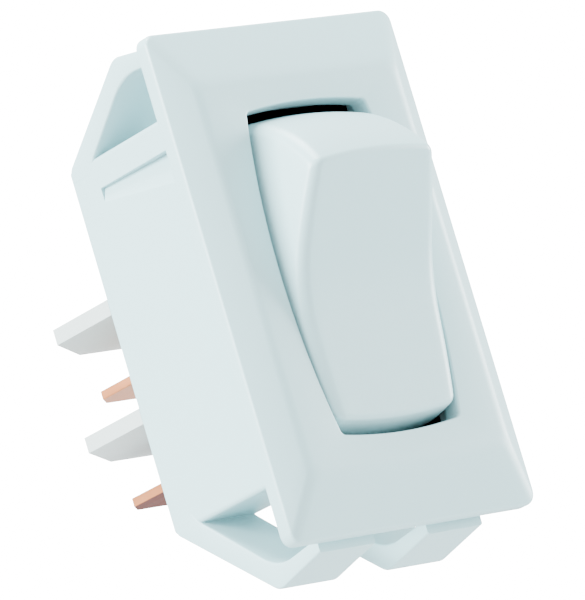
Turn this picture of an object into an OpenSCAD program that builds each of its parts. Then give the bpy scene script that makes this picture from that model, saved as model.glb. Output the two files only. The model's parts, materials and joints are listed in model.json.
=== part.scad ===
// Snap-in rocker wall switch, single pole, for a thin panel.
// Frame: X across the width, Y into the wall, Z up the long side, millimetres.
// The origin is the middle of the bezel's rear face, in the panel's front plane.

/* [Bezel] */
// Height of the bezel
bezel_h = 45; // [44.6:0.1:46]
// Width of the bezel
bezel_w = 27; // [26.6:0.1:28]
// Thickness of the upright rim
rim_t = 1.5; // [1.3:0.1:1.8]
// Rise of the sloped border above the rim
bevel_rise = 1.77; // [1.6:0.01:2]
// Width of the sloped border along the long sides
bevel_side = 2.5; // [2:0.1:3]
// Width of the sloped border at the top and bottom
bevel_end = 5.2; // [4.8:0.1:5.4]
// Width of the rocker opening at its ends
opening_w = 12.86; // [12.8:0.01:13]
// Length of the rocker opening at its corners
opening_l = 28.6; // [28.5:0.1:28.8]
// How far the opening's ends bow outward
end_bow = 0.5; // [0.4:0.05:0.55]
// How far the opening's long sides bow outward
side_bow = 1.5; // [1.3:0.1:1.6]

/* [Housing] */
// Width of the housing
body_w = 18; // [17.8:0.1:18.2]
// Length of the housing
body_l = 33; // [32.8:0.1:33.2]
// Depth of the housing behind the panel's front plane
body_d = 18.85; // [18.8:0.05:19]
// How far the housing's end walls stand above the middle
body_z = 0.4; // [0.3:0.05:0.45]

/* [Rocker] */
// Width of the rocker at its ends
rocker_w = 12; // [11.8:0.1:12.1]
// Radius of the rocker's ends about its pivot, at the corners
rocker_r = 13.85; // [13.7:0.05:13.9]
// Slope of the two halves of the rocker's face
dish_slope = 14; // [13:0.5:15]
// Radius of the hollow between the two halves
dish_r = 16; // [14:0.5:18]
// Tilt of the rocker either way from level
rocker_tilt = 18; // [17:0.5:18]

/* [Terminals] */
// Distance from one terminal to the next
terminal_pitch = 9.9; // [9.8:0.05:10]
// How far the terminal row stands above the middle
row_z = -0.4; // [-0.5:0.1:-0.3]
// Width of a terminal blade
blade_w = 6.35; // [6.3:0.05:6.4]
// Thickness of a terminal blade
blade_t = 0.8; // [0.8:0.01:0.85]
// Depth reached by the blades and the barrier fins
tail_end = 32.3; // [31:0.1:33]

/* [Latches] */
// Width of one latch strap
strap_w = 6.1; // [5.8:0.1:6.3]
// Mean distance from the middle to the crest of a strap
crest_z = 24.15; // [24:0.05:24.3]
// Mean depth of the crest behind the panel's front plane
crest_y = 8.2; // [8:0.1:8.4]
// How much nearer the middle the upper crests are than the mean
crest_drop = 0.35; // [0.2:0.05:0.4]
// How much deeper the upper crests are than the mean
crest_shift = 0.65; // [0.4:0.05:0.8]

/* [Hidden] */
$fn = 48;

white = [0.90, 0.93, 0.93];
copper = [0.80, 0.50, 0.33];
silver = [0.80, 0.80, 0.78];
steel = [0.62, 0.63, 0.65];
nylon = [0.88, 0.86, 0.80];

plateau_y = -(rim_t + bevel_rise);
skin = 1.3;
lip_y = -1.4;
wall = 1.2;
strap_gap = body_w - 2 * strap_w;

pivot_y = 1.5;
pin_r = 1;
fit = 0.05;
face_y = -6.6;
plunger_r = 1.6;
tip_r = 1.2;
tip_from_pivot = 9.5;

base_t = 2;
base_y = body_d - base_t;
foot_y = base_y - blade_t;
button_r = 1.9;
button_t = 0.8;
rivet_z = 2.9;
rivet_r = 0.78;
step_y = base_y - 1.95;
nose_end = 8;
stem_start = 6;

fulcrum_y = 12.8;
contact_tilt = 7;
arm_rise = 12;
arm_l = 12.2;
contact_w = 5;

fin_w = body_w;
fin_t = 1.4;

// A slab from depth y0 to depth y1 with an outline drawn in X and Z
module slab(y0, y1) {
    translate([0, y1, 0]) rotate([90, 0, 0]) linear_extrude(y1 - y0) children();
}

// A profile drawn in Y and Z, carried across the width and centred on X = 0
module across(w) {
    translate([-w / 2, 0, 0])
        rotate([90, 0, 90]) linear_extrude(w) children();
}

// A box from depth y0 to depth y1, centred in X and Z
module block(x, y0, y1, z) {
    translate([-x / 2, y0, -z / 2]) cube([x, y1 - y0, z]);
}

// Rectangle with round corners, centred
module round_rect(w, h, r) {
    square([w - 2 * r, h], center = true);
    square([w, h - 2 * r], center = true);
    for (sx = [-1, 1], sz = [-1, 1])
        translate([sx * (w / 2 - r), sz * (h / 2 - r)]) circle(r);
}

// Strip along Z whose two sides bow outward on a wide arc
module bowed_sides(w) {
    half = opening_l / 2;
    side_r = (half * half + side_bow * side_bow) / (2 * side_bow);
    intersection() {
        translate([w / 2 + side_bow - side_r, 0]) circle(side_r, $fn = 360);
        translate([side_r - w / 2 - side_bow, 0]) circle(side_r, $fn = 360);
    }
}

// The rocker opening: a barrel with all four sides bowed outward
module opening_outline() {
    half = opening_w / 2;
    bow_r = (half * half + end_bow * end_bow) / (2 * end_bow);
    reach = opening_l / 2 + end_bow;
    intersection() {
        bowed_sides(opening_w);
        translate([0, reach - bow_r]) circle(bow_r, $fn = 240);
        translate([0, bow_r - reach]) circle(bow_r, $fn = 240);
    }
}

// Wedges cut from the front block to leave the four sloped borders
module bevel_cuts() {
    over = 1;
    for (s = [-1, 1]) {
        scale_x = s * bezel_w / 2;
        translate([0, 0, -bezel_h]) linear_extrude(2 * bezel_h)
            polygon([
                [scale_x - s * bevel_side, plateau_y],
                [scale_x + s * over, -rim_t + over * bevel_rise / bevel_side],
                [scale_x + s * over, plateau_y - over],
                [scale_x - s * bevel_side, plateau_y - over]]);
        across(2 * bezel_w)
            polygon([
                [plateau_y, s * (bezel_h / 2 - bevel_end)],
                [-rim_t + over * bevel_rise / bevel_end, s * (bezel_h / 2 + over)],
                [plateau_y - over, s * (bezel_h / 2 + over)],
                [plateau_y - over, s * (bezel_h / 2 - bevel_end)]]);
    }
}

// Face plate: rim, sloped borders, flat plateau, hollow back and four catches
module bezel() {
    color(white) {
        difference() {
            slab(plateau_y, 0) round_rect(bezel_w, bezel_h, 1);
            bevel_cuts();
            slab(-0.7, 1) round_rect(bezel_w - 2 * skin, bezel_h - 2 * skin, 0.8);
            block(body_w + 2.6, lip_y, 1, body_l + 1);
            slab(plateau_y - 1, 1) opening_outline();
        }
        for (sx = [-1, 1], sz = [-1, 1])
            translate([sx * (body_w / 2 + 0.6), lip_y - 0.1, sz * 9 - 3]) {
                translate([-0.45, 0, 0]) cube([0.9, 1.4, 6]);
                translate([-0.5 - 0.45 * sx, 0.7, 1]) cube([1, 0.5, 4]);
            }
    }
}

// Side wall recess near the top. Its floor is deepest under the end wall and
// at the front, and runs out downward and to the rear.
module thumb_recess(s) {
    top_z = 14.2;
    low_z = 10.6;
    deep = 1.15;
    length = 14.3;
    rear_slope = 3;
    translate([s * body_w / 2, 1, 0]) rotate([0, 0, -s * rear_slope])
        translate([0, length, 0]) rotate([90, 0, 0]) linear_extrude(length)
            polygon([
                [s * 2, top_z],
                [-s * deep, top_z],
                [0, low_z],
                [s * 2, low_z]]);
}

// Open box with cheeks for the pivot pin and roots for the latch straps
module housing() {
    inner_w = body_w - 2 * wall;
    wide_l = 21;
    swing_w = 14.2;
    swing_l = 30.2;
    swing_d = 8;
    chamber_w = 13.2;
    chamber_l = 27.2;
    slot_y = 9;
    slot_low = 14.7;
    slot_high = 17.5;
    pin_hole = 17.2;
    color(white) {
        difference() {
            translate([0, 0, body_z]) {
                slab(0, body_d) round_rect(body_w, body_l, 0.4);
                slab(lip_y + 0.05, 0.1) round_rect(body_w - 0.2, body_l - 0.2, 0.4);
            }
            block(inner_w, lip_y - 1, base_y, wide_l);
            block(swing_w, lip_y - 1, swing_d, swing_l);
            block(chamber_w, swing_d - 0.1, base_y, chamber_l);
            block(inner_w, base_y, body_d + 1, 28);
            for (s = [-1, 1]) {
                thumb_recess(s);
                translate([0, 0, s * (slot_low + slot_high) / 2])
                    block(strap_gap, slot_y, body_d + 2, slot_high - slot_low);
                for (sz = [-1, 1])
                    translate([s * (body_w / 2 + 0.1), -0.9, sz * 9 - 2.2])
                        translate([-0.6, 0, 0]) cube([1.2, 0.75, 4.4]);
            }
            translate([-pin_hole / 2, pivot_y, 0]) rotate([0, 90, 0])
                cylinder(r = pin_r + 0.01, h = pin_hole);
        }
    }
}

// One snap strap: a ramp from the housing's rear corner out to the crest,
// then a shallower slope forward to the free end behind the bezel.
// It is thickest at its root and inside the crest. The upper straps' crests
// are a little deeper and nearer the middle than the lower ones'.
module latch(side, end) {
    root_y = body_d;
    root_z = body_l / 2 + end * body_z;
    root_t = 3.65;
    top_y = crest_y + end * crest_shift;
    top_z = crest_z - end * crest_drop;
    tip_y = 0.9;
    tip_z = top_z - 1.4;
    tip_t = 1.3;
    color(white)
        translate([side * (body_w / 2 - strap_w / 2), 0, 0])
            across(strap_w)
                polygon([
                    [root_y, end * root_z],
                    [top_y, end * top_z],
                    [tip_y, end * tip_z],
                    [tip_y, end * (tip_z - tip_t)],
                    [top_y - 1.9, end * (top_z - 2)],
                    [top_y + 0.6, end * (top_z - 2.8)],
                    [root_y - root_t, end * root_z]]);
}

module latch_top_left() { latch(-1, 1); }
module latch_top_right() { latch(1, 1); }
module latch_bottom_left() { latch(-1, -1); }
module latch_bottom_right() { latch(1, -1); }

// Outline of a barrier fin or a blade seen along Z: square base, cut corners
module tail_outline(w, y0, y1, cut_x, cut_y) {
    polygon([
        [-w / 2, y0],
        [w / 2, y0],
        [w / 2, y1 - cut_y],
        [w / 2 - cut_x, y1],
        [-w / 2 + cut_x, y1],
        [-w / 2, y1 - cut_y]]);
}

// Plate that closes the rear of the housing, with two barrier fins
module terminal_base() {
    slot = 0.05;
    color(white)
        difference() {
            union() {
                block(body_w - 2 * wall - 0.1, base_y, body_d, 27.9);
                translate([0, 0, -9.6]) block(8, step_y, base_y + 0.1, 7.7);
                for (z = [-0.5, 0.5])
                    translate([0, 0, row_z + z * terminal_pitch - fin_t / 2])
                        linear_extrude(fin_t)
                            tail_outline(fin_w, body_d, tail_end, 6, 5);
            }
            for (z = [-1, 0, 1] * terminal_pitch)
                translate([0, 0, row_z + z])
                    block(blade_w + 2 * slot, step_y - 1, body_d + 1, blade_t + 2 * slot);
            for (z = [0, -terminal_pitch])
                translate([0, step_y - 1, row_z + z + rivet_z]) rotate([-90, 0, 0])
                    cylinder(r = rivet_r + 0.02, h = 6);
        }
}

// What is cut from the rocker's front: two flat slopes and a round valley
module face_cut() {
    valley_y = face_y - dish_r;
    top_z = 16;
    turn_y = valley_y + dish_r * cos(dish_slope);
    turn_z = dish_r * sin(dish_slope);
    top_y = turn_y - (top_z - turn_z) * tan(dish_slope);
    across(40)
        polygon([
            [turn_y, -turn_z],
            [top_y, -top_z],
            [-20, -top_z],
            [-20, top_z],
            [top_y, top_z],
            [turn_y, turn_z]]);
    translate([0, valley_y, 0]) rotate([0, 90, 0])
        cylinder(r = dish_r, h = 40, center = true, $fn = 180);
}

// The rocker in its level position, about the pivot at the origin
module rocker_level() {
    half = rocker_w / 2;
    bow_r = (half * half + end_bow * end_bow) / (2 * end_bow);
    difference() {
        union() {
            intersection() {
                rotate([0, 90, 0]) rotate_extrude($fn = 180)
                    intersection() {
                        translate([rocker_r + end_bow - bow_r, 0]) circle(bow_r, $fn = 240);
                        translate([0, -9]) square([30, 18]);
                    }
                slab(-12, 2.4) bowed_sides(rocker_w);
            }
            intersection() {
                translate([-4.6, -3, -5.2]) cube([9.2, 8.6, 10.4]);
                rotate([0, 90, 0]) cylinder(r = 5.6, h = 20, center = true);
            }
            translate([0, 3, 0]) rotate([-90, 0, 0]) cylinder(r = 2.7, h = nose_end - 3);
        }
        face_cut();
        for (s = [-1, 1])
            translate([-4.9, -3.2, s * 8.6 - 3.2]) cube([9.8, 8, 6.4]);
        rotate([0, 90, 0]) cylinder(r = pin_r + fit, h = 40, center = true);
        translate([0, 1.9, 0]) rotate([-90, 0, 0]) cylinder(r = plunger_r + fit, h = 12);
    }
}

// Concave paddle, tilted so that its top stands out of the bezel
module rocker() {
    color(white) translate([0, pivot_y, 0]) rotate([rocker_tilt, 0, 0]) rocker_level();
}

// Steel pin that the rocker turns on, held in the housing's cheeks
module pivot_pin() {
    color(steel) translate([-8.5, pivot_y, 0]) rotate([0, 90, 0]) cylinder(r = pin_r, h = 17);
}

// Everything that lies along the plunger's line, tilted with the rocker
module along_plunger() {
    translate([0, pivot_y, 0]) rotate([rocker_tilt - 90, 0, 0]) children();
}

// Nylon plunger: a stem that guides the spring and a round tip
module plunger() {
    color(nylon) along_plunger()
        rotate_extrude()
            intersection() {
                union() {
                    translate([0, stem_start]) square([plunger_r, tip_from_pivot - stem_start - 0.3]);
                    translate([0, tip_from_pivot]) circle(tip_r);
                    translate([0, tip_from_pivot - 0.5]) square([tip_r, 0.5]);
                }
                square([10, 20]);
            }
}

// Compression spring between the bottom of the rocker's bore and the plunger
module plunger_spring() {
    wire = 0.16;
    coil = 1.2;
    turns = 4;
    steps = 16;
    y0 = 2.12;
    y1 = stem_start - wire;
    n = turns * steps;
    sides = 6;
    function ring(i) = [for (k = [0 : sides - 1])
        let (a = 360 * i / steps, b = 360 * k / sides,
            r = coil + wire * cos(b))
        [r * cos(a), r * sin(a), y0 + (y1 - y0) * i / n + wire * sin(b)]];
    points = [for (i = [0 : n]) each ring(i)];
    walls = [for (i = [0 : n - 1], k = [0 : sides - 1])
        let (m = (k + 1) % sides)
        [i * sides + k, i * sides + m, (i + 1) * sides + m, (i + 1) * sides + k]];
    first = [for (k = [sides - 1 : -1 : 0]) k];
    last = [for (k = [0 : sides - 1]) n * sides + k];
    color(steel) along_plunger()
        polyhedron(points, concat([first], walls, [last]));
}

// The see-saw contact, drawn level about its fulcrum: two arms that rise
// forward from the middle, with wings that sit in the saddle
module contact_level() {
    for (s = [-1, 1])
        rotate([s * arm_rise, 0, 0])
            translate([-contact_w / 2, -0.4, min(0, s * arm_l)])
                cube([contact_w, 0.8, arm_l]);
    rotate([0, 90, 0]) cylinder(r = 0.45, h = 7.6, center = true);
}

// Copper see-saw contact, with the top arm held back
module contact_rocker() {
    color(copper) translate([0, fulcrum_y, 0]) rotate([-contact_tilt, 0, 0])
        difference() {
            contact_level();
            rotate([-arm_rise, 0, 0]) translate([0, -2, -10.2]) rotate([-90, 0, 0])
                cylinder(r = 0.82, h = 4);
        }
}

// Silver button riveted through the lower arm of the see-saw contact
module moving_contact() {
    color(silver) translate([0, fulcrum_y, 0]) rotate([-contact_tilt - arm_rise, 0, 0])
        translate([0, 0, -10.2]) rotate([-90, 0, 0]) {
            translate([0, 0, 0.42]) cylinder(r = button_r, h = button_t);
            translate([0, 0, -0.7]) cylinder(r = 0.8, h = 1.3);
            translate([0, 0, -0.75]) cylinder(r = 1.3, h = 0.33);
        }
}

// Forked bracket that carries the see-saw contact
module fulcrum_saddle() {
    color(copper)
        difference() {
            union() {
                translate([0, 0, 1.1]) block(7.4, foot_y - 0.8, foot_y, 6.2);
                for (s = [-1, 1])
                    translate([s * 3.3, 0, 0]) block(0.8, fulcrum_y - 0.9, foot_y - 0.05, 4);
            }
            translate([-5, fulcrum_y, 0]) rotate([0, 90, 0]) cylinder(r = 0.5, h = 10);
            translate([-5, fulcrum_y - 2, -0.5]) cube([10, 2, 1]);
            translate([0, foot_y - 1, row_z + rivet_z]) rotate([-90, 0, 0])
                cylinder(r = rivet_r + 0.02, h = 2);
        }
}

// One terminal: a blade through the base and a foot bent flat on its seat
module terminal(z, seat_y) {
    difference() {
        union() {
            translate([0, 0, z - blade_t / 2]) linear_extrude(blade_t)
                tail_outline(blade_w, seat_y - blade_t, tail_end, 1.5, 1.6);
            translate([0, 0, z + 1.2]) block(blade_w, seat_y - blade_t, seat_y, 6);
        }
        translate([0, seat_y - 1, z + rivet_z]) rotate([-90, 0, 0])
            cylinder(r = rivet_r + 0.02, h = 3);
    }
}

// Middle terminal, common
module common_terminal() {
    color(copper) terminal(row_z, base_y);
}

// Lower terminal, to the load, with its foot on a step of the base
module load_terminal() {
    color(copper) terminal(row_z - terminal_pitch, step_y);
}

// Silver button on the load terminal's foot
module fixed_contact() {
    color(silver) translate([0, step_y - blade_t - button_t, row_z - terminal_pitch])
        rotate([-90, 0, 0]) cylinder(r = 1.6, h = button_t);
}

// Tubular rivet: a shank with a flat head at each end
module rivet(z, head_y) {
    head_r = 1.2;
    head_t = 0.35;
    color(copper) translate([0, head_y, z]) rotate([-90, 0, 0]) {
        translate([0, 0, -head_t]) cylinder(r = head_r, h = head_t);
        translate([0, 0, -head_t]) cylinder(r = rivet_r, h = body_d - head_y + 2 * head_t);
        translate([0, 0, body_d - head_y]) cylinder(r = head_r, h = head_t);
    }
}

// Rivet through the saddle, the common terminal's foot and the base
module common_rivet() {
    rivet(row_z + rivet_z, foot_y - 0.8);
}

// Rivet through the load terminal's foot and the base
module load_rivet() {
    rivet(row_z + rivet_z - terminal_pitch, step_y - blade_t);
}

// Plug in the unused terminal slot, whose inner end stops the see-saw contact
module off_stop() {
    color(nylon) translate([0, 0, row_z + terminal_pitch]) {
        block(blade_w, base_y, body_d, blade_t);
        block(4, 12.6, base_y, 3.2);
    }
}

bezel();
housing();
latch_top_left();
latch_top_right();
latch_bottom_left();
latch_bottom_right();
terminal_base();
rocker();
pivot_pin();
plunger();
plunger_spring();
contact_rocker();
moving_contact();
fulcrum_saddle();
common_terminal();
load_terminal();
fixed_contact();
common_rivet();
load_rivet();
off_stop();
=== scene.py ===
# %% [markdown]
# # A snap-in rocker wall switch
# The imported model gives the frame: every CAD part at its real place and size,
# in metres. X runs across the switch, Y into the wall and Z up its long side.
# This file gives the visible parts their moulded shapes and their finishes.

import json
import math

import bpy
import numpy as np
from mathutils import Matrix, Vector

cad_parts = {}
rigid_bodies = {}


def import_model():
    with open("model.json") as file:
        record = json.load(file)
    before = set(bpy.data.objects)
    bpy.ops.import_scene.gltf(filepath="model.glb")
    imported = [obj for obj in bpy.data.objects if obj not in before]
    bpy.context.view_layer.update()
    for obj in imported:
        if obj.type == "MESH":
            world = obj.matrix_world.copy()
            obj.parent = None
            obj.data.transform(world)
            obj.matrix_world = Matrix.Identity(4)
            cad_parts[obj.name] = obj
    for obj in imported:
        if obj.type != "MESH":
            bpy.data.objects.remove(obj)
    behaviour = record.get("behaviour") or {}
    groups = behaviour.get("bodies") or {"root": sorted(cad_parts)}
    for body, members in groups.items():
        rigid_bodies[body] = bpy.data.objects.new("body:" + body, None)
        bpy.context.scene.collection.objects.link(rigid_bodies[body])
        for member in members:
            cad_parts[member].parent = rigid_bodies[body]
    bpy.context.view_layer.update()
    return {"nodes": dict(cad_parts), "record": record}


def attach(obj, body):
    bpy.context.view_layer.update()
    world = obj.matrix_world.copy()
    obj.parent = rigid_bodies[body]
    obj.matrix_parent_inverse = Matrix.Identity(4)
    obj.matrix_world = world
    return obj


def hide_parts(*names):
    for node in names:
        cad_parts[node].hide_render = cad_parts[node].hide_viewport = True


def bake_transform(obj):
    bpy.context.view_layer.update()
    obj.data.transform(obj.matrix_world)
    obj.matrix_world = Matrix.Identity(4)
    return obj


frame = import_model()
MM = 0.001

# %% [markdown]
# ## Camera
# The switch is looked at from its left and a little below, through a long
# lens, with the camera rolled so that the top leans to the left. The focal
# length is given in picture heights.

# %% Camera
FOCAL_HEIGHTS = 11.818333
AIM = Vector((-2.9, 2.3, -1.0)) * MM
TURN, RISE, ROLL = math.radians(-39.88), math.radians(-10.27), math.radians(-16.6)
DISTANCE = 0.600

back = Vector((math.sin(TURN) * math.cos(RISE), -math.cos(TURN) * math.cos(RISE), math.sin(RISE)))
camera = bpy.data.objects.new("camera", bpy.data.cameras.new("camera"))
bpy.context.scene.collection.objects.link(camera)
camera.data.sensor_width = 36
camera.data.lens = FOCAL_HEIGHTS * camera.data.sensor_width
camera.data.clip_end = 20
camera.location = AIM + back * DISTANCE
look = (-back).to_track_quat("-Z", "Y").to_matrix() @ Matrix.Rotation(ROLL, 3, "Z")
camera.rotation_euler = look.to_euler()
bpy.context.scene.camera = camera
print("camera", DISTANCE, "m away, lens", round(camera.data.lens), "mm")

# %% [markdown]
# ## From a grid of points to a closed mesh
# Most of these pieces are lofts: a closed outline is worked out at many
# stations, and neighbouring outlines are joined by quads. The first helper
# turns such a stack of rings into a mesh. A stack that ends gets a flat cap.

# %% Grid helper
def ring_mesh(name, rings, loop=False):
    """Mesh from rings of shape (stations, around, 3) in mm. loop joins the last ring to the
    first; otherwise each end gets a fan to its mean. Point (i, j) has index i * around + j."""
    stations, around, _ = rings.shape
    i = np.arange(stations if loop else stations - 1)[:, None]
    j = np.arange(around)[None, :]
    nxt_i, nxt_j = (i + 1) % stations, (j + 1) % around
    quads = np.stack([i * around + j, i * around + nxt_j, nxt_i * around + nxt_j, nxt_i * around + j], -1)
    faces = quads.reshape(-1, 4).tolist()
    points = rings.reshape(-1, 3)
    if not loop:
        first, last = len(points), len(points) + 1
        k = np.arange(around)
        faces += np.stack([np.full(around, first), (k + 1) % around, k], -1).tolist()
        end = (stations - 1) * around
        faces += np.stack([np.full(around, last), end + k, end + (k + 1) % around], -1).tolist()
        points = np.vstack([points, rings[[0, -1]].mean(1)])
    mesh = bpy.data.meshes.new(name)
    mesh.from_pydata((points * MM).tolist(), [], faces)
    piece = bpy.data.objects.new(name, mesh)
    bpy.context.scene.collection.objects.link(piece)
    outward(piece)
    return piece


def outward(piece):
    """Turns every face of a closed mesh outward: the signed volume, a sixth of the sum
    of a . (b x c) over its triangles, has to be positive."""
    mesh = piece.data
    mesh.calc_loop_triangles()
    co = np.empty(len(mesh.vertices) * 3)
    mesh.vertices.foreach_get("co", co)
    tri = np.empty(len(mesh.loop_triangles) * 3, dtype=np.int32)
    mesh.loop_triangles.foreach_get("vertices", tri)
    a, b, c = (co.reshape(-1, 3)[tri.reshape(-1, 3)[:, n]] for n in range(3))
    if np.einsum("ij,ij->i", a, np.cross(b, c)).sum() < 0:
        mesh.flip_normals()
    mesh.update()
    print(piece.name, len(mesh.vertices), "points")


def smooth(piece, angle=30):
    """Smooth shading with creases kept where faces meet at more than the angle."""
    piece.data.shade_smooth()
    piece.data.set_sharp_from_angle(angle=math.radians(angle))


# %% [markdown]
# A moulded edge is never a knife edge. A profile is first given as a few
# corner stations, and this helper replaces each corner by a short curve.

# %% Round the corners of a profile
def rounded(stations, reach, steps=5, closed=False):
    """Replaces every corner of a polyline by a quadratic curve B(t) = (1-t)^2 A + 2t(1-t) C + t^2 D,
    where A and D lie on the two legs at the corner's reach, never past 45% of a leg.
    stations may have any number of columns; reach is one length or one for each corner."""
    p = np.asarray(stations, float)
    reach = np.broadcast_to(np.asarray(reach, float), len(p))
    before, after = np.roll(p, 1, 0), np.roll(p, -1, 0)
    t = np.linspace(0, 1, steps)[None, :, None]

    def leg(q):
        """The point on the leg towards q at the corner's reach."""
        d = q - p
        size = np.maximum(np.linalg.norm(d, axis=1), 1e-9)
        return p + d * np.minimum(reach / size, 0.45)[:, None]

    a, d = leg(before)[:, None], leg(after)[:, None]
    curve = (1 - t) ** 2 * a + 2 * t * (1 - t) * p[:, None] + t ** 2 * d
    if not closed:
        curve[0], curve[-1] = p[0], p[-1]
    return curve.reshape(-1, p.shape[1])


# %% [markdown]
# ## Bezel
# The face plate is a thin shell: an upright rim, four sloped borders, a flat
# middle and a rocker opening whose ends bow outward. All of its outlines are
# rectangles of one family, so the plate is one profile carried round it.

# %% Rectangle outlines
def rectangle_rings(stations, corner_steps=7, side_steps=20):
    """Rings in mm from rows of (half width, half height, corner radius, end bow, side bow, depth).
    Each corner is an arc about (half width - r, half height - r), and each side is split evenly.
    The ends are pushed out by end bow * (1 - (x / half width)^2), and x is stretched by
    1 + side bow / half width * (1 - (z / half height)^2)."""
    w, h, r, end_bow, side_bow, y = np.asarray(stations, float).T[:, :, None]
    quarter = np.linspace(0, math.pi / 2, corner_steps)
    angle = np.concatenate([quarter + k * math.pi / 2 for k in range(4)])
    sx, sz = (np.repeat(signs, corner_steps)[None, :] for signs in ([1, -1, -1, 1], [1, 1, -1, -1]))
    corners = np.stack([sx * (w - r) + r * np.cos(angle), sz * (h - r) + r * np.sin(angle)], -1)
    corners = corners.reshape(len(w), 4, corner_steps, 2)
    share = np.linspace(0, 1, side_steps + 2)[1:-1, None]
    leave, meet = corners[:, :, -1:], np.roll(corners, -1, 1)[:, :, :1]
    outline = np.concatenate([corners, leave + (meet - leave) * share], 2).reshape(len(w), -1, 2)
    x, z = outline[..., 0], outline[..., 1]
    bowed_z = z + np.sign(z) * end_bow * (1 - (x / w) ** 2)
    bowed_x = x * (1 + side_bow / w * (1 - (z / h) ** 2))
    return np.stack([bowed_x, np.broadcast_to(y, x.shape), bowed_z], -1)


# %% Bezel shell
RIM_Y, FACE_Y, LIP_Y, HOLLOW_Y = -1.5, -3.27, -1.4, -0.7
OPEN_W, OPEN_H, OPEN_R, END_BOW, SIDE_BOW = 6.43, 14.3, 0.35, 0.5, 1.5

# Half width, half height, corner radius, end bow and side bow
RIM = (13.5, 22.5, 1.0, 0, 0)
FLAT = (11.0, 17.3, 1.0, 0, 0)
SEAT = (10.3, 17.0, 0.6, 0, 0)
HOLLOW = (12.2, 21.2, 0.8, 0, 0)
OPENING = (OPEN_W, OPEN_H, OPEN_R, END_BOW, SIDE_BOW)

bezel_stations = [
    (*HOLLOW, 0), (*RIM, 0), (*RIM, RIM_Y), (*FLAT, FACE_Y), (*OPENING, FACE_Y),
    (*OPENING, LIP_Y), (*SEAT, LIP_Y), (*SEAT, HOLLOW_Y), (*HOLLOW, HOLLOW_Y),
]
bezel_reach = (0.1, 0.2, 0.35, 1.0, 0.28, 0.1, 0.1, 0.1, 0.1)
bezel_rings = rectangle_rings(rounded(bezel_stations, bezel_reach, 7, closed=True))
bezel = ring_mesh("bezel_shell", bezel_rings, loop=True)
smooth(bezel, 50)
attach(bezel, "body")
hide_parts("bezel")

# %% [markdown]
# ## Rocker
# Seen from the side the rocker is a disc sector about its pivot. Its face has
# two flat slopes with a round valley between them, and a small round ridge
# stands where face and end meet. The outline is worked out for every station
# across the width, so the ends can bow and the long edges can be rounded; the
# width then swells towards the middle like the opening's.

# %% Rocker outline
PIVOT_Y = 1.5
TILT = math.radians(18)
ROCKER_HALF, EDGE_R, RIDGE_R = 6.0, 0.9, 0.6
END_R, VALLEY_R, VALLEY_Y, SLOPE, BACK_Y = 13.85, 16.0, -6.6, math.radians(14), 2.4


def rocker_outline(end_r, inset, steps=24):
    """Closed outlines in (y, z) about the pivot, one for each entry of end_r and inset.
    A slope is the line n . p = d with n = (cos SLOPE, sin SLOPE) and
    d = VALLEY_Y cos SLOPE + VALLEY_R (1 - cos SLOPE) + inset. The ridge's arc has its centre c at
    n . c = d + r and |c| = end radius - r, so it touches the slope and the end circle."""
    r = np.full_like(end_r, RIDGE_R)
    n = np.array([math.cos(SLOPE), math.sin(SLOPE)])
    d = VALLEY_Y * n[0] + VALLEY_R * (1 - n[0]) + inset + r
    along = np.sqrt((end_r - r) ** 2 - d ** 2)
    cy, cz = d * n[0] - along * n[1], d * n[1] + along * n[0]
    t = np.linspace(0, 1, steps)[None, :]

    def arc(y0, radius, z0, start, stop):
        """An arc about (y0, z0) between two angles measured from -y towards +z."""
        angle = start[:, None] + (stop - start)[:, None] * t
        return np.stack([y0[:, None] - radius[:, None] * np.cos(angle),
                         z0[:, None] + radius[:, None] * np.sin(angle)], -1)

    zero = np.zeros_like(end_r)
    back_z = np.sqrt(end_r ** 2 - BACK_Y ** 2)
    end = arc(zero, end_r, zero, np.arctan2(back_z, -BACK_Y + zero), np.arctan2(cz, -cy))
    ridge = arc(cy, r, cz, np.arctan2(cz, -cy), zero - SLOPE)
    valley = arc(zero + VALLEY_Y - VALLEY_R, -(VALLEY_R + inset), zero, zero - SLOPE, zero)
    slope = ridge[:, -1:] + (valley[:, :1] - ridge[:, -1:]) * t[..., None]
    back = np.stack([np.broadcast_to(BACK_Y, back_z.shape)[:, None] + 0 * t, back_z[:, None] * t], -1)
    half = np.concatenate([back[:, 1:-1], end, ridge[:, 1:], slope[:, 1:], valley[:, 1:]], 1)
    mirror = half[:, -2::-1] * (1, -1)
    return np.concatenate([half, mirror], 1)


# %% Rocker surface
def rocker_rings():
    """Outlines across the width, scaled down to the pivot on both side faces. Within EDGE_R of a side
    the outline shrinks by EDGE_R - sqrt(EDGE_R^2 - u^2), a quarter circle, and the ends bow by
    END_BOW * (1 - (x / half)^2). Last, x is stretched by 1 + SIDE_BOW / half * (1 - (z / OPEN_H)^2)."""
    lean = np.linspace(0, math.pi / 2, 11)
    flank = ROCKER_HALF - EDGE_R + EDGE_R * np.sin(lean)
    inset_flank = EDGE_R * (1 - np.cos(lean))
    middle = np.linspace(-flank[0], flank[0], 21)[1:-1]
    shrink = np.linspace(0.04, 1, 16)[:-1]
    x = np.concatenate([-flank[::-1], middle, flank])
    inset = np.concatenate([inset_flank[::-1], np.zeros(len(middle)), inset_flank])
    outline = rocker_outline(END_R + END_BOW * (1 - (x / ROCKER_HALF) ** 2) - inset, inset)
    outline = np.concatenate([outline[:1] * shrink[:, None, None], outline,
                              outline[-1:] * shrink[::-1, None, None]])
    x = np.concatenate([np.full(len(shrink), x[0]), x, np.full(len(shrink), x[-1])])
    y, z = outline[..., 0], outline[..., 1]
    x = x[:, None] * (1 + SIDE_BOW / ROCKER_HALF * (1 - (z / OPEN_H) ** 2))
    c, s = math.cos(TILT), math.sin(TILT)
    return np.stack([x, PIVOT_Y + y * c - z * s, y * s + z * c], -1)


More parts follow.
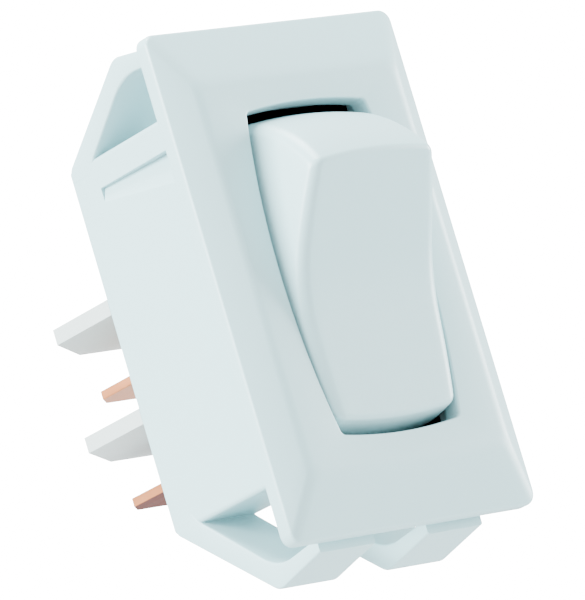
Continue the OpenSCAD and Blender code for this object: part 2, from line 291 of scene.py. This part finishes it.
rocker = ring_mesh("rocker_paddle", rocker_rings())
smooth(rocker, 50)
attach(rocker, "rocker")
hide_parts("rocker")

# %% [markdown]
# ## Latch straps
# Each strap is a flat ribbon with round edges that runs out from the
# housing's rear corner to a crest and back in behind the bezel. A rounded
# rectangle is carried along its middle line. The upper straps' crests lie a
# little deeper and nearer the middle than the lower ones', and the housing's
# end walls stand slightly above the middle.

# %% Strap surface
STRAP_HALF = 3.065
STRAP_MIDDLE = 5.95
CREST_Y, CREST_SHIFT = 8.2, 0.65
CREST_Z, CREST_DROP = 24.15, 0.35
ROOT_Z, BODY_Z, FOOT = 16.5, 0.4, 1.1
REAR_Y, ROOT_INNER_Y = 18.84, 15.2
TIP_Y, TIP_DROP, TIP_T = 0.9, 1.4, 1.3
STRAP_EDGE_R = 0.25


def strap_rings(end):
    """Rings of a rounded rectangle along the strap, between an outer and an inner
    polyline in (y, z) that are rounded at the root and at the crest. end is 1 at the top,
    -1 at the bottom."""
    root, y, z = ROOT_Z + end * BODY_Z, CREST_Y + end * CREST_SHIFT, CREST_Z - end * CREST_DROP
    tip_z = z - TIP_DROP
    outer = [(REAR_Y, root - FOOT), (REAR_Y, root), (y, z), (TIP_Y, tip_z)]
    inner = [(ROOT_INNER_Y + 0.7, root - FOOT), (ROOT_INNER_Y, root),
             (y - 0.7, z - 1.85), (TIP_Y, tip_z - TIP_T)]
    outer = rounded(outer, (0.1, 0.5, 0.7, 0.1), 9)
    inner = rounded(inner, (0.1, 0.5, 2.2, 0.1), 9)
    r = STRAP_EDGE_R
    angle = np.linspace(0, 2 * math.pi, 40, endpoint=False) + math.pi / 40
    across = np.sign(np.cos(angle)) * (STRAP_HALF - r) + r * np.cos(angle)
    up = np.sin(angle)
    middle, half = (outer + inner) / 2, (outer - inner) / 2
    size = np.linalg.norm(half, axis=1, keepdims=True)
    thick = np.sign(up)[None, :] * (size - r) + r * up[None, :]
    yz = middle[:, None, :] + (half / size)[:, None, :] * thick[..., None]
    x = np.broadcast_to(across, thick.shape)
    return np.stack([x, yz[..., 0], end * yz[..., 1]], -1)


for side, side_name in ((-1, "left"), (1, "right")):
    for end, end_name in ((1, "top"), (-1, "bottom")):
        rings = strap_rings(end)
        rings[..., 0] += side * STRAP_MIDDLE
        strap = ring_mesh(f"strap_{end_name}_{side_name}", rings)
        smooth(strap, 40)
        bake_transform(strap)
        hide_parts(f"latch_{end_name}_{side_name}")

# %% [markdown]
# ## Plunger spring
# A small coil of round wire sits in the rocker's bore behind the plunger. It
# is drawn as a helix along the plunger's line.

# %% Spring coil
COIL_R, WIRE_R, TURNS = 1.2, 0.15, 4
COIL_START, COIL_END = 2.14, 5.82


def on_plunger_line(x, y, along):
    """Points in mm from coordinates about the plunger's line, which leaves the pivot at TILT from Y
    towards Z: (x, PIVOT_Y + along cos TILT + y sin TILT, along sin TILT - y cos TILT)."""
    c, s = math.cos(TILT), math.sin(TILT)
    return np.stack([x, PIVOT_Y + along * c + y * s, along * s - y * c], -1)


t = np.linspace(0, 1, TURNS * 32 + 1)[:, None]
turn = 2 * math.pi * TURNS * t
around = np.linspace(0, 2 * math.pi, 12, endpoint=False)[None, :]
radius = COIL_R + WIRE_R * np.cos(around)
coil = ring_mesh("spring_coil", on_plunger_line(
    radius * np.cos(turn), radius * np.sin(turn),
    COIL_START + (COIL_END - COIL_START) * t + WIRE_R * np.sin(around)))
smooth(coil, 50)
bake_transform(coil)
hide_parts("plunger_spring")

# %% [markdown]
# ## Parts that keep their CAD shape
# Their CAD meshes are right, but their edges are dead sharp. A live chain of
# modifiers merges the loose triangles, joins coplanar ones and then rounds
# every edge by a tenth of a millimetre or so.

# %% Soft edges on CAD parts
def soften(node, width):
    """Weld, planar dissolve and a three-segment bevel of the given width in mm."""
    piece = frame["nodes"][node]
    weld = piece.modifiers.new("weld", "WELD")
    weld.merge_threshold = 1e-6
    flat = piece.modifiers.new("flat", "DECIMATE")
    flat.decimate_type = "DISSOLVE"
    flat.angle_limit = math.radians(1)
    bevel = piece.modifiers.new("edges", "BEVEL")
    bevel.width = width * MM
    bevel.segments = 3
    bevel.limit_method = "ANGLE"
    bevel.angle_limit = math.radians(35)


SOFT = {
    "housing": 0.2, "terminal_base": 0.25, "common_terminal": 0.08, "load_terminal": 0.08,
    "contact_rocker": 0.08, "fulcrum_saddle": 0.08, "moving_contact": 0.1, "fixed_contact": 0.1,
    "pivot_pin": 0.12, "plunger": 0.1, "off_stop": 0.12, "common_rivet": 0.1, "load_rivet": 0.1,
}
for node, width in SOFT.items():
    soften(node, width)
print("softened", len(SOFT), "CAD parts")

# %% [markdown]
# ## Finishes
# The white parts are injection moulded: a satin gloss with a very fine
# orange-peel bump and a faint cool tint. The rear plate and its fins are
# tinted warmer: painted reflection of the copper blades on the white plastic.
# The blades are bare copper alloy with lengthwise rolling marks. The lower
# blade's flat faces are darkened, partly by oxide and partly by painted
# shade where its underside lies in shade, and its sheared edges stay bright.

# %% Material helpers
def new_material(name, **sockets):
    """A Principled material with its constant sockets set; returns it with its nodes and links."""
    material = bpy.data.materials.new(name)
    material.use_nodes = True
    tree = material.node_tree
    shader = tree.nodes["Principled BSDF"]
    for key, value in sockets.items():
        shader.inputs[key.replace("_", " ")].default_value = value
    return material, tree, shader


def noise(tree, scale, detail=3, stretch=(1, 1, 1)):
    """Noise on Object coordinates, scaled along each axis."""
    place = tree.nodes.new("ShaderNodeTexCoord")
    mapping = tree.nodes.new("ShaderNodeMapping")
    mapping.inputs["Scale"].default_value = stretch
    tree.links.new(place.outputs["Object"], mapping.inputs["Vector"])
    texture = tree.nodes.new("ShaderNodeTexNoise")
    texture.inputs["Scale"].default_value = scale
    texture.inputs["Detail"].default_value = detail
    tree.links.new(mapping.outputs["Vector"], texture.inputs["Vector"])
    return texture.outputs["Fac"]


def spread(tree, value, low, high):
    """Maps 0..1 to low..high."""
    node = tree.nodes.new("ShaderNodeMapRange")
    node.inputs["To Min"].default_value = low
    node.inputs["To Max"].default_value = high
    tree.links.new(value, node.inputs["Value"])
    return node.outputs["Result"]


def bump(tree, shader, height, distance, strength):
    """Feeds a height into the shader's normal."""
    node = tree.nodes.new("ShaderNodeBump")
    node.inputs["Distance"].default_value = distance
    node.inputs["Strength"].default_value = strength
    tree.links.new(height, node.inputs["Height"])
    tree.links.new(node.outputs["Normal"], shader.inputs["Normal"])


def mix_colour(tree, factor, first, second):
    """A colour between two, by the factor."""
    node = tree.nodes.new("ShaderNodeMix")
    node.data_type = "RGBA"
    node.inputs["A"].default_value = (*first, 1)
    node.inputs["B"].default_value = (*second, 1)
    tree.links.new(factor, node.inputs["Factor"])
    return node.outputs["Result"]


# %% White moulded plastic
def white_plastic(name, tint):
    """Satin plastic with a cloudy change of colour of a few percent, and a fine orange-peel bump."""
    material, tree, shader = new_material(name, IOR=1.5)
    cloud = noise(tree, 90, 4)
    dull = tuple(c * 0.975 for c in tint)
    tree.links.new(mix_colour(tree, cloud, dull, tint), shader.inputs["Base Color"])
    tree.links.new(spread(tree, noise(tree, 900, 2), 0.30, 0.42), shader.inputs["Roughness"])
    bump(tree, shader, noise(tree, 2600, 2), 0.00002, 0.25)
    return material


plastic = white_plastic("white_plastic", (0.38, 0.61, 0.64))
# The rear plate's warmer tint is painted reflection of the copper blades.
copper_reflection_plastic = white_plastic("copper_reflection_plastic", (0.50, 0.60, 0.595))
nylon = white_plastic("nylon", (0.56, 0.55, 0.48))

# %% Metals
def sheet_metal(name, dark, light, roughness):
    """Metal with fine lengthwise rolling marks and a cloudy tarnish."""
    material, tree, shader = new_material(name, Metallic=1.0)
    marks = noise(tree, 900, 3, (1, 0.06, 1))
    tree.links.new(mix_colour(tree, noise(tree, 260, 4), dark, light), shader.inputs["Base Color"])
    tree.links.new(spread(tree, marks, roughness - 0.08, roughness + 0.1), shader.inputs["Roughness"])
    bump(tree, shader, marks, 0.00001, 0.4)
    return material


def tarnish_and_painted_shade(material, shade_and_tarnish):
    """Covers the flat faces of a blade, whose object-space normals run along Z, with a dark dull
    colour, partly oxide and partly painted shade, and leaves its sheared edges bright:
    factor = smoothstep of |normal z| from 0.6 to 0.9. The dark colour isn't metallic, so the
    metallic value is 1 - factor."""
    tree = material.node_tree
    shader = tree.nodes["Principled BSDF"]
    bright = shader.inputs["Base Color"].links[0].from_socket
    place = tree.nodes.new("ShaderNodeTexCoord")
    split = tree.nodes.new("ShaderNodeSeparateXYZ")
    tree.links.new(place.outputs["Normal"], split.inputs["Vector"])
    size = tree.nodes.new("ShaderNodeMath")
    size.operation = "ABSOLUTE"
    tree.links.new(split.outputs["Z"], size.inputs[0])
    step = tree.nodes.new("ShaderNodeMapRange")
    step.interpolation_type = "SMOOTHSTEP"
    step.inputs["From Min"].default_value = 0.6
    step.inputs["From Max"].default_value = 0.9
    tree.links.new(size.outputs["Value"], step.inputs["Value"])
    blend = tree.nodes.new("ShaderNodeMix")
    blend.data_type = "RGBA"
    blend.inputs["B"].default_value = (*shade_and_tarnish, 1)
    tree.links.new(step.outputs["Result"], blend.inputs["Factor"])
    tree.links.new(bright, blend.inputs["A"])
    tree.links.new(blend.outputs["Result"], shader.inputs["Base Color"])
    tree.links.new(spread(tree, step.outputs["Result"], 1, 0), shader.inputs["Metallic"])
    # Almost no specular, so the painted shade on the flat faces stays dark.
    shader.inputs["Specular IOR Level"].default_value = 0.03


# The blade's dark flat-face colour is partly oxide and partly painted shade of its shaded underside.
COPPER_DARK, COPPER_LIGHT, TARNISH_AND_SHADE = (0.60, 0.20, 0.07), (0.80, 0.36, 0.17), (0.09, 0.014, 0.006)
copper = sheet_metal("copper", COPPER_DARK, COPPER_LIGHT, 0.34)
blade_shade_tarnish = sheet_metal("copper_tarnish_and_shade", COPPER_DARK, COPPER_LIGHT, 0.34)
tarnish_and_painted_shade(blade_shade_tarnish, TARNISH_AND_SHADE)
silver = sheet_metal("silver", (0.62, 0.62, 0.60), (0.80, 0.80, 0.78), 0.30)
steel = sheet_metal("steel", (0.40, 0.41, 0.43), (0.56, 0.57, 0.59), 0.28)

FINISH = {"white_plastic": plastic, "nylon": nylon, "copper": copper, "silver": silver, "steel": steel}


def dress(piece, material):
    """Gives a piece its one material."""
    if piece.material_slots:
        for slot in piece.material_slots:
            slot.link = "OBJECT"
            slot.material = material
    else:
        piece.data.materials.append(material)


for row in frame["record"]["subparts"]:
    dress(frame["nodes"][row["node"]], FINISH[row["material_slot"]])
# The lower blade's flat faces carry painted shade mixed with oxide.
dress(frame["nodes"]["load_terminal"], blade_shade_tarnish)
# The rear plate and fins get the tint that paints the copper's reflection on them.
dress(frame["nodes"]["terminal_base"], copper_reflection_plastic)
for piece in bpy.context.scene.objects:
    if piece.type == "MESH" and piece.name.startswith(("bezel_", "rocker_", "strap_")):
        dress(piece, plastic)
dress(coil, steel)
print("finishes:", ", ".join(material.name for material in bpy.data.materials))

# %% [markdown]
# ## Light and floor
# A white studio. The world lights everything evenly. Three lamps beside and
# above the switch graze its front, so that the sloped borders and the
# rocker's edges read against the flat middle and the gaps stay dark. A pale
# floor lies well below.

# %% Studio
LIGHT, WHITE = 2.05, 24.0
KEY, FILL, TOP = 20.5, 10.25, 12.3


def lamp(name, place, size, power):
    """A square area lamp in mm that faces the switch."""
    data = bpy.data.lights.new(name, "AREA")
    data.size = size * MM
    data.energy = power
    light = bpy.data.objects.new(name, data)
    light.location = Vector(place) * MM
    light.rotation_euler = (-light.location).to_track_quat("-Z", "Y").to_euler()
    bpy.context.scene.collection.objects.link(light)


world = bpy.data.worlds.new("studio")
bpy.context.scene.world = world
world.use_nodes = True
sky = world.node_tree
dome = sky.nodes["Background"]
dome.inputs["Color"].default_value = (1, 1, 1, 1)
dome.inputs["Strength"].default_value = LIGHT
backdrop = sky.nodes.new("ShaderNodeBackground")
backdrop.inputs["Strength"].default_value = WHITE
chooser = sky.nodes.new("ShaderNodeMixShader")
sky.links.new(sky.nodes.new("ShaderNodeLightPath").outputs["Is Camera Ray"], chooser.inputs["Fac"])
sky.links.new(dome.outputs["Background"], chooser.inputs[1])
sky.links.new(backdrop.outputs["Background"], chooser.inputs[2])
sky.links.new(chooser.outputs["Shader"], sky.nodes["World Output"].inputs["Surface"])

lamp("key", (-600, 150, 250), 350, KEY)
lamp("fill", (560, -220, 20), 300, FILL)
lamp("top", (-60, -20, 620), 300, TOP)

FLOOR_HALF, FLOOR_Z = 4.0, -0.45
floor_mesh = bpy.data.meshes.new("floor")
corners = [(x * FLOOR_HALF, y * FLOOR_HALF, FLOOR_Z) for x, y in ((-1, -1), (1, -1), (1, 1), (-1, 1))]
floor_mesh.from_pydata(corners, [], [(0, 1, 2, 3)])
floor = bpy.data.objects.new("floor", floor_mesh)
bpy.context.scene.collection.objects.link(floor)
floor.data.materials.append(new_material("floor", Base_Color=(0.72, 0.73, 0.74, 1), Roughness=0.9)[0])
print("studio: three lamps and a floor", -FLOOR_Z, "m below")
